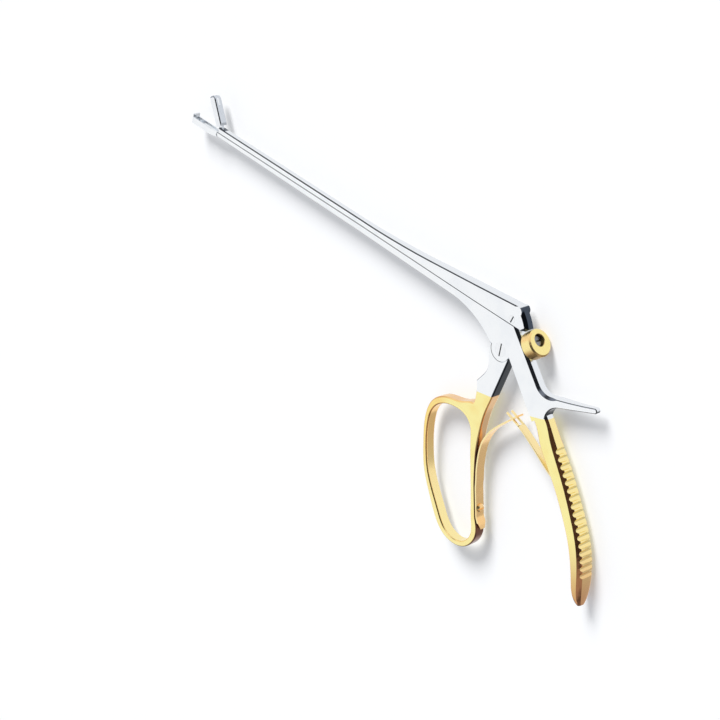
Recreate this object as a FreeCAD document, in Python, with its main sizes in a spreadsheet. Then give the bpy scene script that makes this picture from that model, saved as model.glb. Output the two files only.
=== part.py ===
# Cervical biopsy punch: a sliding-bar punch with a hinged upper jaw, a finger-loop lever and leaf springs.
# Frame: +X from the jaws to the grip along the shaft, +Y towards the slide, +Z out of the side plate.
# The origin is on the main pivot's axis, in the plane of the lower side face.
import FreeCAD, Part
import Sketcher
import math
import os

from FreeCAD import Placement, Rotation, Vector

doc = FreeCAD.newDocument("BiopsyPunch")
sheet = doc.addObject("Spreadsheet::Sheet", "Sizes")

# Driving sizes in millimetres and degrees, each written once
drivingSizes = [
    ("frame_thickness", 5.8, "side plate of the frame, the slide's rear and the lever"),
    ("bar_width", 3.6, "shaft width, side to side, in its distal half"),
    ("widen_start", -100.0, "where the shaft begins to widen"),
    ("widen_end", -22.0, "where the shaft reaches the plate's thickness"),
    ("interface_height", 14.2, "sliding face above the pivot"),
    ("slide_gap", 0.05, "running gap under the slide"),
    ("bar_height", 2.4, "fixed bar at its distal end"),
    ("bar_deepening", 1.5, "how much deeper the bar is where the frame begins"),
    ("slide_height", 2.7, "slide at its distal end"),
    ("slide_rise_start", -95.0, "where the slide's top begins to rise"),
    ("slide_rise_end", -52.0, "where the slide's top runs straight again"),
    ("slide_rise", 2.0, "rise over the curved stretch"),
    ("slide_rear_height", 9.75, "slide at its rear corner"),
    ("edge_bevel", 0.45, "bevel on the shaft's long edges"),
    ("seam_bevel", 0.18, "bevel on the two edges that slide past each other"),
    ("plate_bevel", 0.35, "bevel on the other edges of the side plates"),
    ("rear_bevel", 1.2, "bevel on the frame's and lever's rear edges"),
    ("slide_rear_bevel", 1.45, "bevel on the slide's rear face"),
    ("pivot_head_radius", 3.15, "main screw head"),
    ("pivot_head_depth", 1.1, "main screw head"),
    ("pivot_radius", 2.1, "main screw shank"),
    ("lobe_radius", 5.4, "frame's rounded ear around the pivot"),
    ("lobe_gap", 0.3, "lever's clearance around the ear and under the frame"),
    ("running_gap", 0.04, "radial clearance of pins in their bores"),
    ("seat_gap", 0.02, "radial clearance of screws in their own piece"),
    ("tongue_thickness", 2.2, "lever's tongue between the ears"),
    ("tongue_gap", 0.1, "tongue's clearance to each wall"),
    ("tongue_half_width", 4.4, "tongue at the pivot"),
    ("tongue_top_half_width", 2.7, "tongue at its fork"),
    ("drive_x", 2.2, "cross screw that the lever drives the slide by"),
    ("drive_rise", 2.6, "cross screw above the sliding face"),
    ("drive_radius", 1.2, "cross screw shank"),
    ("drive_head_radius", 1.75, "cross screw head"),
    ("drive_head_depth", 0.8, "cross screw head"),
    ("screw_slot_width", 0.65, "driver slots"),
    ("screw_slot_depth", 0.6, "driver slots"),
    ("slide_travel", 2.88, "stroke of the slide"),
    ("jaw_pivot_x", -210.0, "upper jaw's hinge"),
    ("jaw_pivot_drop", 1.2, "hinge below the sliding face"),
    ("jaw_pin_radius", 0.55, "hinge pin and link pin"),
    ("jaw_boss_radius", 1.15, "metal around each jaw pin"),
    ("link_height", 2.65, "link pin above the jaw's hinge"),
    ("jaw_open_angle", 57.0, "upper jaw's swing from shut to open"),
    ("jaw_web_thickness", 1.3, "jaw's web between the bar's ears"),
    ("jaw_web_gap", 0.12, "web's clearance to each ear"),
    ("jaw_length", 19.6, "upper jaw's tip from its hinge"),
    ("jaw_root", 3.8, "start of the jaw's cup from its hinge"),
    ("jaw_height", 3.9, "upper jaw"),
    ("jaw_width", 4.2, "upper jaw"),
    ("jaw_wall", 0.65, "cup walls"),
    ("bite_gap", 0.12, "between the two cutting rims when shut"),
    ("lower_jaw_depth", 3.2, "lower jaw below its rim"),
    ("lower_jaw_width", 4.2, "lower jaw"),
    ("lip_height", 1.9, "raised nose in front of the upper jaw's tip"),
    ("lip_thickness", 1.6, "raised nose at its foot"),
    ("lip_clearance", 0.4, "between the raised nose and the upper jaw's tip"),
    ("tooth_pitch", 1.3, "teeth on the lower jaw's rim"),
    ("tooth_depth", 0.45, "teeth on the lower jaw's rim"),
    ("collar_radius", 6.4, "stop collar"),
    ("collar_length", 8.1, "stop collar with its neck"),
    ("collar_neck_length", 1.9, "neck between the frame and the collar"),
    ("collar_neck_radius", 3.3, "neck between the frame and the collar"),
    ("collar_bore_radius", 2.85, "stop collar's bore"),
    ("collar_bore_offset", 1.1, "bore's eccentricity, towards the slide"),
    ("collar_floor", 3.2, "metal under the collar screw's head"),
    ("collar_screw_head_radius", 2.6, "collar screw"),
    ("collar_screw_head_height", 3.2, "collar screw"),
    ("collar_screw_radius", 1.5, "collar screw's shank"),
    ("collar_screw_length", 6.4, "collar screw's shank inside the frame"),
    ("rear_edge_sum", 19.7, "x plus y along the frame's slanted rear edge"),
    ("collar_x", 12.4, "collar's axis where it meets that edge"),
    ("spur_length", 29.3, "from the frame's waist to the spur's tip"),
    ("spur_angle", 20.6, "spur's axis above the shaft's direction"),
    ("spur_tip_height", 2.4, "spur's tip in the side view"),
    ("spur_tip_thickness", 2.6, "spur's tip, side to side"),
    ("rib_radius", 1.5, "grooves between the grip's ribs"),
    ("rib_depth", 0.75, "grooves between the grip's ribs"),
    ("rib_count", 17, "grooves down the grip's spine"),
    ("band_edge_radius", 0.95, "rounding along the finger loop"),
    ("leaf_thickness", 0.8, "leaf springs"),
    ("front_leaf_width", 5.0, "front leaf spring"),
    ("rear_leaf_width", 4.2, "rear leaf spring"),
    ("front_leaf_tip_width", 3.2, "front leaf spring below its neck"),
    ("leaf_head_width", 4.8, "cross head at the front leaf's tip"),
    ("leaf_neck_width", 1.5, "neck behind the cross head"),
    ("leaf_fork_gap", 2.1, "slot in the rear leaf's tip"),
    ("spring_screw_radius", 2.1, "domed heads of the spring screws"),
    ("spring_screw_height", 1.3, "domed heads of the spring screws"),
    ("spring_screw_shank", 1.1, "shanks of the spring screws"),
    ("key_neck_width", 1.1, "guide key's neck"),
    ("key_head_width", 2.0, "guide key's head"),
    ("key_length", 8.0, "guide key along the shaft"),
    ("key_seat", 0.6, "guide key's root inside the bar"),
    ("key_neck_height", 0.85, "guide key's neck above the sliding face"),
    ("key_head_height", 0.7, "guide key's head"),
    ("front_key_x", -190.0, "middle of the front guide key"),
    ("rear_key_x", -70.0, "middle of the rear guide key"),
    ("key_gap", 0.06, "guide key's clearance in the slide"),
]
for number, (alias, value, note) in enumerate(drivingSizes, 1):
    sheet.set(f"A{number}", alias)
    sheet.set(f"B{number}", str(value))
    sheet.setAlias(f"B{number}", alias)
    sheet.set(f"C{number}", note)
doc.recompute()


def size(alias):
    return float(sheet.get(alias))


midPlane = size("frame_thickness") / 2
interfaceY = size("interface_height")
slideBottom = interfaceY + size("slide_gap")
jawPivot = Vector(size("jaw_pivot_x"), interfaceY - size("jaw_pivot_drop"), midPlane)


# Drawing helpers


def newBody(name):
    body = doc.addObject("PartDesign::Body", name)
    body.Label = name
    return body


def sketchOn(body, name, role="XY_Plane", offset="Sizes.frame_thickness / 2"):
    sketch = body.newObject("Sketcher::SketchObject", name)
    plane = next(item for item in body.Origin.OriginFeatures if item.Role == role)
    sketch.AttachmentSupport = (plane, [""])
    sketch.MapMode = "FlatFace"
    if offset:
        sketch.setExpression("AttachmentOffset.Base.z", offset)
    return sketch


# Draws one closed outline. A stroke is a point (a line to it), ("arc", through, end),
# or ("curve", points...), a smooth curve that runs on from a line beside it,
# unless that line turns off sharply.
def draw(sketch, start, *strokes):
    here = Vector(*start)
    before = None
    for number, stroke in enumerate(strokes):
        if stroke[0] == "arc":
            end = Vector(*stroke[2])
            sketch.addGeometry(Part.Arc(here, Vector(*stroke[1]), end), False)
            before = None
        elif stroke[0] == "curve":
            points = [here] + [Vector(*point) for point in stroke[1:]]
            end = points[-1]
            following = strokes[number + 1] if number + 1 < len(strokes) else start
            after = None if isinstance(following[0], str) else Vector(*following) - end
            tangents = [Vector(0, 0, 0)] * len(points)
            flags = [False] * len(points)
            firstChord = points[1] - points[0]
            lastChord = points[-1] - points[-2]
            for place, line, chord in ((0, before, firstChord), (-1, after, lastChord)):
                if line and line.Length > 1e-6 and line.getAngle(chord) < 0.9:
                    tangents[place] = line.normalize() * chord.Length
                    flags[place] = True
            curve = Part.BSplineCurve()
            curve.interpolate(Points=points, Tangents=tangents, TangentFlags=flags)
            sketch.addGeometry(curve, False)
            before = None
        else:
            end = Vector(*stroke)
            sketch.addGeometry(Part.LineSegment(here, end), False)
            before = end - here
        here = end
    if (here - Vector(*start)).Length > 1e-6:
        sketch.addGeometry(Part.LineSegment(here, Vector(*start)), False)


def drawCircle(sketch, centre, radiusFormula):
    radius = float(sketch.evalExpression(radiusFormula))
    index = sketch.addGeometry(Part.Circle(Vector(*centre), Vector(0, 0, 1), radius), False)
    constraint = sketch.addConstraint(Sketcher.Constraint("Radius", index, radius))
    sketch.setExpression(f"Constraints[{constraint}]", radiusFormula)


def drawBox(sketch, x0, y0, x1, y1):
    draw(sketch, (x0, y0, 0), (x1, y0, 0), (x1, y1, 0), (x0, y1, 0))


def pad(body, sketch, lengthFormula, name):
    feature = body.newObject("PartDesign::Pad", name)
    feature.Profile = sketch
    feature.Midplane = True
    feature.setExpression("Length", lengthFormula)
    return feature


def pocket(body, sketch, name, lengthFormula=None):
    feature = body.newObject("PartDesign::Pocket", name)
    feature.Profile = sketch
    feature.Midplane = True
    if lengthFormula:
        feature.setExpression("Length", lengthFormula)
    else:
        feature.Type = "ThroughAll"
    return feature


# Turns an outline about an axis in the middle plane. Its points are (along the axis, radius).
def turned(body, name, origin, degrees, outline, cut=False):
    angle = math.radians(degrees)
    along = Vector(math.cos(angle), math.sin(angle), 0)
    across = Vector(-math.sin(angle), math.cos(angle), 0)
    base = Vector(origin[0], origin[1], 0)
    sketch = sketchOn(body, name + "_profile")
    points = [tuple(base + along * a + across * r) for a, r in outline]
    draw(sketch, *points)
    sketch.addGeometry(Part.LineSegment(base, base + along), True)
    kind = "Groove" if cut else "Revolution"
    feature = body.newObject(f"PartDesign::{kind}", name)
    feature.Profile = sketch
    feature.ReferenceAxis = (sketch, ["Axis0"])
    feature.Angle = 360
    return feature


def dress(body, kind, name, base, edges, sizeFormula):
    feature = body.newObject(f"PartDesign::{kind}", name)
    feature.Base = (base, edges)
    feature.setExpression("Radius" if kind == "Fillet" else "Size", sizeFormula)
    return feature


# Names the edges between a side face and a wall whose middle point is wanted
def sideEdges(feature, wanted):
    names = []
    shape = feature.Shape
    for number, edge in enumerate(shape.Edges, 1):
        middle = edge.valueAt((edge.FirstParameter + edge.LastParameter) / 2)
        if not wanted(middle):
            continue
        tilts = []
        for face in shape.ancestorsOfType(edge, Part.Face):
            u, v = face.Surface.parameter(middle)
            tilts.append(abs(face.normalAt(u, v).z))
        if len(tilts) == 2 and max(tilts) > 0.95 and min(tilts) < 0.3:
            names.append(f"Edge{number}")
    return names


def polar(centre, radius, degrees):
    angle = math.radians(degrees)
    return (centre[0] + radius * math.cos(angle), centre[1] + radius * math.sin(angle), 0)


def roundHole(body, name, centre, radiusFormula):
    sketch = sketchOn(body, name + "_sketch")
    drawCircle(sketch, centre, radiusFormula)
    return pocket(body, sketch, name)


# A round pocket sunk from the near face
def sink(body, name, centre, radiusFormula, depthFormula):
    sketch = sketchOn(body, name + "_sketch", "XY_Plane", "Sizes.frame_thickness")
    drawCircle(sketch, centre, radiusFormula)
    feature = body.newObject("PartDesign::Pocket", name)
    feature.Profile = sketch
    feature.setExpression("Length", depthFormula)
    return feature


# Planes the shaft's sides down to its narrow front, seen from above
def narrowShaft(body, name, frontX, tipX=None):
    sketch = sketchOn(body, name + "_sketch", "XZ_Plane", None)
    outer = size("frame_thickness")
    for side in (-1, 1):
        far = midPlane + side * outer
        near = midPlane + side * size("bar_width") / 2
        full = midPlane + side * size("frame_thickness") / 2
        draw(sketch, (frontX, near, 0), (size("widen_start"), near, 0), (size("widen_end"), full, 0),
             (size("widen_end"), far, 0), (frontX, far, 0))
        if tipX:
            tip = midPlane + side * size("spur_tip_thickness") / 2
            taperX = spurBase[0] + 4
            draw(sketch, (taperX, full, 0), (tipX, tip, 0), (tipX, far, 0), (taperX, far, 0))
    return pocket(body, sketch, name)


# Frame: fixed bar, lower jaw, ears, spur and rear grip in one forging
spurBase = (29.0, -10.4)
jawBottom = interfaceY - size("lower_jaw_depth")
jawRootX = jawPivot.x - size("jaw_root")
lipInnerX = jawPivot.x - size("jaw_length") - size("lip_clearance")
jawTipX = lipInnerX - size("lip_thickness")
lipTop = interfaceY + size("lip_height")
barDistalBottom = interfaceY - size("bar_height")
barRearBottom = barDistalBottom - size("bar_deepening")
flareStart = -35.0
flareRadius = 45.0
earTop = 0.6
rearEdge = size("rear_edge_sum")
innerEdge = [(5.3, -1.05, 0), (26.0, -22.55, 0)]
collarBase = Vector(size("collar_x"), rearEdge - size("collar_x"), 0)
boreStep = size("collar_bore_offset") * math.sqrt(0.5)
boreBase = collarBase + Vector(-boreStep, boreStep, 0)
driveY = interfaceY + size("drive_rise")
linkAngle = 90 - size("jaw_open_angle") / 2
linkReach = size("link_height") / math.cos(math.radians(size("jaw_open_angle") / 2))
linkRest = polar(tuple(jawPivot), linkReach, linkAngle)

# Rear grip: near rear edge, its direction, flat side's width, rear bevel and thickness, down the grip
gripStations = [
    ((31.2, -16.8), -50.0, 6.6, 1.2, 5.4),
    ((38.1, -25.0), -49.6, 6.9, 1.5, 6.0),
    ((44.6, -32.6), -50.0, 6.5, 1.8, 7.0),
    ((52.7, -42.3), -51.5, 5.7, 1.8, 7.5),
    ((59.3, -51.3), -55.5, 5.2, 1.8, 8.0),
    ((66.0, -61.5), -61.5, 4.8, 1.8, 8.7),
    ((70.5, -71.7), -69.5, 4.2, 1.9, 9.1),
    ((72.7, -79.7), -74.5, 3.6, 1.9, 8.8),
    ((74.0, -86.0), -73.0, 3.0, 1.7, 7.5),
    ((75.0, -90.0), -66.0, 2.0, 1.2, 5.2),
    ((75.6, -91.8), -62.0, 1.1, 0.7, 3.0),
]


def flarePoint(x):
    return (x, barRearBottom - flareRadius + math.sqrt(flareRadius ** 2 - (x - flareStart) ** 2), 0)


def spurPoint(along, across):
    angle = math.radians(size("spur_angle"))
    return (spurBase[0] + along * math.cos(angle) - across * math.sin(angle),
            spurBase[1] + along * math.sin(angle) + across * math.cos(angle), 0)


def gripPoint(station, across):
    (x, y), direction, flat, bulge, thickness = station
    return polar((x, y), across, direction + 90)


def frameOutline(body):
    lobe = size("lobe_radius")
    earX = -math.sqrt(lobe ** 2 - earTop ** 2)
    spurTip = size("spur_length")
    halfTip = size("spur_tip_height") / 2
    sketch = sketchOn(body, "frame_outline")
    draw(sketch, (jawRootX, interfaceY, 0),
         (jawRootX, barDistalBottom, 0),
         (flareStart, barRearBottom, 0),
         ("arc", flarePoint(-20.0), flarePoint(-7.0)),
         (-6.9, earTop, 0),
         (earX, earTop, 0),
         ("arc", (0, -lobe, 0), innerEdge[0]),
         innerEdge[1],
         (32.4, -17.4, 0),
         ("arc", (33.7, -12.3, 0), (38.4, -8.75, 0)),
         spurPoint(spurTip - 0.8, -halfTip),
         ("arc", spurPoint(spurTip, 0), spurPoint(spurTip - 0.8, halfTip)),
         ("arc", spurPoint(spurTip - 13, 1.5), spurPoint(4.9, 2.35)),
         ("arc", (28.0, -6.75, 0), (rearEdge + 4.3, -4.3, 0)),
         (rearEdge - interfaceY, interfaceY, 0))
    return sketch


def gripSection(body, number, station):
    (x, y), direction, flat, bevel, thickness = station
    corner = min(1.0, flat / 2)
    edge = bevel / 2
    half = thickness / 2
    crown = bevel / 8
    sketch = sketchOn(body, f"grip_section_{number}", "XZ_Plane", None)
    sketch.AttachmentOffset = Placement(Vector(x, midPlane, -y), Rotation(Vector(0, 1, 0), direction + 90))
    turn = corner * (1 - math.sqrt(0.5))
    draw(sketch, (-flat, corner - half, 0), (-flat, half - corner, 0),
         ("arc", (turn - flat, half - turn, 0), (corner - flat, half, 0)),
         (0, half, 0),
         ("arc", (bevel * 0.56, half - bevel * 0.44, 0), (bevel, half - bevel, 0)),
         ("arc", (bevel + crown, (edge - bevel) / 2, 0), (bevel, edge - half, 0)),
         ("arc", (bevel - edge * 0.3, edge * 0.3 - half, 0), (bevel - edge, -half, 0)),
         (corner - flat, -half, 0),
         ("arc", (turn - flat, turn - half, 0), (-flat, corner - half, 0)))
    return sketch


def ribGrooves(body):
    spine = Part.BSplineCurve()
    spine.interpolate([Vector(*gripPoint(station, station[3])) for station in gripStations[1:9]])
    first = spine.parameter(Vector(42.2, -29.6, 0))
    last = spine.parameter(Vector(74.3, -75.9, 0))
    count = int(size("rib_count"))
    sketch = sketchOn(body, "rib_grooves_sketch")
    for number in range(count):
        place = first + (last - first) * number / (count - 1)
        tangent = spine.tangent(place)[0]
        outward = Vector(-tangent.y, tangent.x, 0)
        centre = spine.value(place) + outward * (size("rib_radius") - size("rib_depth"))
        drawCircle(sketch, tuple(centre), "Sizes.rib_radius")
    return pocket(body, sketch, "rib_grooves")


def keySeat(body, name, x):
    half = size("key_length") / 2 + size("seat_gap")
    sketch = sketchOn(body, name + "_sketch")
    drawBox(sketch, x - half, interfaceY - size("key_seat") - size("seat_gap"), x + half, interfaceY + 1)
    return pocket(body, sketch, name, "Sizes.key_neck_width + 2 * Sizes.seat_gap")


def lowerJaw(body):
    wall = size("jaw_wall")
    sketch = sketchOn(body, "lower_jaw_outline")
    draw(sketch, (jawRootX + 3.5, interfaceY, 0),
         (jawRootX + 3.5, barDistalBottom, 0),
         (jawRootX - 1.5, jawBottom, 0),
         (jawTipX + 1.3, jawBottom, 0),
         ("arc", (jawTipX + 0.35, jawBottom + 0.4, 0), (jawTipX, jawBottom + 1.4, 0)),
         (jawTipX + 0.8, lipTop - 0.3, 0),
         ("arc", (jawTipX + 1.05, lipTop, 0), (lipInnerX - 0.1, lipTop - 0.3, 0)),
         (lipInnerX, interfaceY, 0))
    pad(body, sketch, "Sizes.lower_jaw_width", "lower_jaw")

    # Round nose, seen from above
    half = size("lower_jaw_width") / 2
    sketch = sketchOn(body, "nose_sketch", "XZ_Plane", None)
    for side in (-1, 1):
        outer = midPlane + side * half
        draw(sketch, (jawTipX - 1, midPlane + side * (half - 1.7), 0),
             (jawTipX - 0.01, midPlane + side * (half - 1.7), 0),
             ("arc", (jawTipX + 0.6, midPlane + side * (half - 0.55), 0), (jawTipX + 2.4, outer, 0)),
             (jawTipX + 2.4, outer + side, 0),
             (jawTipX - 1, outer + side, 0))
    pocket(body, sketch, "nose_rounding")

    # Basket with its toothed rims
    sketch = sketchOn(body, "basket_sketch")
    draw(sketch, (lipInnerX + 0.2, interfaceY + 0.2, 0),
         (lipInnerX + 0.2, jawBottom + 1.4, 0),
         ("arc", (lipInnerX + 0.5, jawBottom + 0.9, 0), (lipInnerX + 1.2, jawBottom + wall, 0)),
         (jawRootX - 0.6, jawBottom + wall, 0),
         (jawRootX - 0.6, interfaceY + 0.2, 0))
    pocket(body, sketch, "basket", "Sizes.lower_jaw_width - 2 * Sizes.jaw_wall")
    sketch = sketchOn(body, "basket_window_sketch")
    drawBox(sketch, lipInnerX + 2.5, jawBottom - 1, jawRootX - 3, jawBottom + wall + 0.5)
    pocket(body, sketch, "basket_window", "Sizes.lower_jaw_width / 3")
    pitch = size("tooth_pitch")
    sketch = sketchOn(body, "tooth_sketch")
    toothX = lipInnerX + 1.0
    draw(sketch, (toothX, interfaceY + 0.05, 0),
         (toothX + pitch * 0.45, interfaceY - size("tooth_depth"), 0),
         (toothX + pitch * 0.9, interfaceY + 0.05, 0))
    notch = pocket(body, sketch, "tooth")
    doc.recompute()
    teeth = body.newObject("PartDesign::LinearPattern", "teeth")
    teeth.Originals = [notch]
    teeth.Direction = (sketch, ["H_Axis"])
    teeth.Length = pitch * 10
    teeth.Occurrences = 11
    body.Tip = teeth


def buildFrame():
    body = newBody("frame")
    pad(body, frameOutline(body), "Sizes.frame_thickness", "frame_plate")
    cut = narrowShaft(body, "bar_sides", jawRootX - 1, spurBase[0] + size("spur_length"))
    doc.recompute()
    rear = sideEdges(cut, lambda p: 18.5 < p.x + p.y and 5.5 < p.x < 30 and p.y > -7.3)
    feature = dress(body, "Chamfer", "rear_edges", cut, rear, "Sizes.rear_bevel")
    doc.recompute()
    lower = sideEdges(feature, lambda p: p.x < -7.5 and p.y < interfaceY - 1)
    feature = dress(body, "Chamfer", "long_edges", feature, lower, "Sizes.edge_bevel")
    doc.recompute()
    seam = sideEdges(feature, lambda p: p.y > interfaceY - 0.01 and p.x < 0)
    feature = dress(body, "Chamfer", "seam_edges", feature, seam, "Sizes.seam_bevel")
    doc.recompute()
    inner = sideEdges(feature, lambda p: abs((p.x - innerEdge[0][0]) * 1.04 + p.y - innerEdge[0][1]) < 0.5)
    feature = dress(body, "Chamfer", "inner_edges", feature, inner, "Sizes.plate_bevel")
    doc.recompute()
    spur = sideEdges(feature, lambda p: p.x > 33)
    dress(body, "Chamfer", "spur_edges", feature, spur, "Sizes.plate_bevel")
    doc.recompute()

    # Rear grip, smoothly through its sections
    loft = body.newObject("PartDesign::AdditiveLoft", "grip")
    sections = [gripSection(body, number, station) for number, station in enumerate(gripStations)]
    loft.Profile = sections[0]
    loft.Sections = sections[1:]
    doc.recompute()
    ribGrooves(body)
    lowerJaw(body)

    # Between the ears and at the hinge
    sketch = sketchOn(body, "tongue_slot_sketch")
    draw(sketch, (-6.2, interfaceY + 1, 0), (-6.2, -7.2, 0), (6.6, -7.2, 0), (6.0, 0, 0),
         (4.95, interfaceY + 1, 0))
    pocket(body, sketch, "tongue_slot", "Sizes.tongue_thickness + 2 * Sizes.tongue_gap")
    sketch = sketchOn(body, "clevis_slot_sketch")
    drawBox(sketch, jawRootX - 1.2, jawBottom - 1, jawPivot.x + 3.6, interfaceY + 1)
    pocket(body, sketch, "clevis_slot", "Sizes.jaw_web_thickness + 2 * Sizes.jaw_web_gap")
    roundHole(body, "hinge_bore", tuple(jawPivot)[:2] + (0,), "Sizes.jaw_pin_radius + Sizes.seat_gap")
    roundHole(body, "pivot_bore", (0, 0, 0), "Sizes.pivot_radius + Sizes.seat_gap")
    sink(body, "pivot_sink", (0, 0, 0), "Sizes.pivot_head_radius + Sizes.seat_gap",
         "Sizes.pivot_head_depth + Sizes.seat_gap")

    # Seats of the collar screw, the guide keys and the rear leaf spring
    gap = size("seat_gap")
    length = size("collar_screw_length") + 0.2
    radius = size("collar_screw_radius") + gap
    turned(body, "collar_screw_bore", boreBase, 225,
           [(-2, 0), (-2, radius), (length, radius), (length, 0)], True)
    keySeat(body, "front_key_seat", size("front_key_x"))
    keySeat(body, "rear_key_seat", size("rear_key_x"))
    doc.recompute()
    return body


frameBody = buildFrame()


# Slide: the upper bar with its fork, T-slots and the lever's pocket
def keySlot(body, name, x):
    gap = size("key_gap")
    half = size("key_length") / 2 + gap
    neckTop = interfaceY + size("key_neck_height")
    end = x + half + size("slide_travel") + gap
    sketch = sketchOn(body, name + "_neck_sketch")
    drawBox(sketch, x - half, interfaceY - 1, end, neckTop + gap)
    pocket(body, sketch, name + "_neck", "Sizes.key_neck_width + 2 * Sizes.key_gap")
    sketch = sketchOn(body, name + "_head_sketch")
    drawBox(sketch, x - half, neckTop - gap, end, neckTop + size("key_head_height") + gap)
    pocket(body, sketch, name + "_head", "Sizes.key_head_width + 2 * Sizes.key_gap")


def buildSlide():
    body = newBody("slide_bar")
    frontX = linkRest[0] - size("jaw_boss_radius")
    frontTop = slideBottom + size("slide_height")
    rearTop = interfaceY + size("slide_rear_height")
    riseStart, riseEnd = size("slide_rise_start"), size("slide_rise_end")
    sketch = sketchOn(body, "slide_outline")
    draw(sketch, (frontX, slideBottom, 0),
         (9.75, slideBottom, 0),
         (11.5, slideBottom + 1.75, 0),
         ("arc", (8.9, slideBottom + 5.85, 0), (5.9, rearTop - 0.75, 0)),
         ("arc", (5.0, rearTop - 0.1, 0), (3.6, rearTop, 0)),
         (riseEnd, frontTop + size("slide_rise"), 0),
         ("curve", ((riseStart + riseEnd) / 2, frontTop + size("slide_rise") * 0.29, 0),
          (riseStart, frontTop, 0)),
         (frontX, frontTop, 0))
    pad(body, sketch, "Sizes.frame_thickness", "slide_plate")
    cut = narrowShaft(body, "slide_sides", frontX - 1)
    doc.recompute()
    rear = sideEdges(cut, lambda p: p.x > 6.2 and p.y > slideBottom + 0.3)
    feature = dress(body, "Chamfer", "slide_rear_edges", cut, rear, "Sizes.slide_rear_bevel")
    doc.recompute()
    upper = sideEdges(feature, lambda p: p.x < 3.6 and p.y > slideBottom + 1)
    feature = dress(body, "Chamfer", "slide_long_edges", feature, upper, "Sizes.edge_bevel")
    doc.recompute()
    seam = sideEdges(feature, lambda p: p.y < slideBottom + 0.01)
    dress(body, "Chamfer", "slide_seam_edges", feature, seam, "Sizes.seam_bevel")
    doc.recompute()
    sketch = sketchOn(body, "slide_tongue_slot_sketch")
    drawBox(sketch, -1.7, interfaceY - 1, 6.2, driveY + 3.5)
    pocket(body, sketch, "slide_tongue_slot", "Sizes.tongue_thickness + 4 * Sizes.tongue_gap")
    sketch = sketchOn(body, "fork_slot_sketch")
    drawBox(sketch, frontX - 1, interfaceY - 1, linkRest[0] + 2.9, frontTop + 1)
    pocket(body, sketch, "fork_slot", "Sizes.jaw_web_thickness + 2 * Sizes.jaw_web_gap")
    roundHole(body, "link_bore", linkRest, "Sizes.jaw_pin_radius + Sizes.seat_gap")
    driveCentre = (size("drive_x"), driveY, 0)
    roundHole(body, "drive_bore", driveCentre, "Sizes.drive_radius + Sizes.seat_gap")
    sink(body, "drive_sink", driveCentre, "Sizes.drive_head_radius + Sizes.seat_gap",
         "Sizes.drive_head_depth + Sizes.seat_gap")
    keySlot(body, "front_key", size("front_key_x"))
    keySlot(body, "rear_key", size("rear_key_x"))
    doc.recompute()
    return body


buildSlide()


# Guide keys, pins and screws
def buildKey(name, x):
    body = newBody(name)
    half = size("key_length") / 2
    neckTop = interfaceY + size("key_neck_height")
    sketch = sketchOn(body, name + "_neck")
    drawBox(sketch, x - half, interfaceY - size("key_seat"), x + half, neckTop + 0.1)
    pad(body, sketch, "Sizes.key_neck_width", name + "_web")
    sketch = sketchOn(body, name + "_head")
    drawBox(sketch, x - half, neckTop, x + half, neckTop + size("key_head_height"))
    pad(body, sketch, "Sizes.key_head_width", name + "_top")
    return body


def post(body, name, centre, radiusFormula, baseFormula, lengthFormula):
    sketch = sketchOn(body, name + "_circle", "XY_Plane", baseFormula)
    drawCircle(sketch, centre, radiusFormula)
    feature = body.newObject("PartDesign::Pad", name)
    feature.Profile = sketch
    feature.setExpression("Length", lengthFormula)
    return feature


def driverSlot(body, name, centre, degrees, reach):
    angle = math.radians(degrees)
    along = Vector(math.cos(angle), math.sin(angle), 0) * reach
    across = Vector(-math.sin(angle), math.cos(angle), 0) * (size("screw_slot_width") / 2)
    base = Vector(*centre)
    corners = [base - along - across, base + along - across, base + along + across, base - along + across]
    sketch = sketchOn(body, name + "_sketch", "XY_Plane", "Sizes.frame_thickness")
    draw(sketch, *[tuple(corner) for corner in corners])
    feature = body.newObject("PartDesign::Pocket", name)
    feature.Profile = sketch
    feature.setExpression("Length", "Sizes.screw_slot_depth")
    return feature


buildKey("guide_key_front", size("front_key_x"))
buildKey("guide_key_rear", size("rear_key_x"))

hingePin = newBody("jaw_pivot_pin")
post(hingePin, "hinge_pin", (jawPivot.x, jawPivot.y, 0), "Sizes.jaw_pin_radius",
     "Sizes.frame_thickness / 2 - Sizes.bar_width / 2", "Sizes.bar_width")

linkPin = newBody("jaw_link_pin")
post(linkPin, "link_pin", linkRest, "Sizes.jaw_pin_radius",
     "Sizes.frame_thickness / 2 - Sizes.bar_width / 2", "Sizes.bar_width")

pivotScrew = newBody("pivot_screw")
post(pivotScrew, "pivot_shank", (0, 0, 0), "Sizes.pivot_radius", None,
     "Sizes.frame_thickness - Sizes.pivot_head_depth")
post(pivotScrew, "pivot_head", (0, 0, 0), "Sizes.pivot_head_radius",
     "Sizes.frame_thickness - Sizes.pivot_head_depth", "Sizes.pivot_head_depth")
driverSlot(pivotScrew, "pivot_slot", (0, 0, 0), 92.5, 4)

driveScrew = newBody("drive_screw")
driveCentre = (size("drive_x"), driveY, 0)
post(driveScrew, "drive_shank", driveCentre, "Sizes.drive_radius", "Sizes.seat_gap",
     "Sizes.frame_thickness - Sizes.drive_head_depth - Sizes.seat_gap")
post(driveScrew, "drive_head", driveCentre, "Sizes.drive_head_radius",
     "Sizes.frame_thickness - Sizes.drive_head_depth", "Sizes.drive_head_depth")
driverSlot(driveScrew, "drive_slot", driveCentre, 75.2, 2.5)


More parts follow.
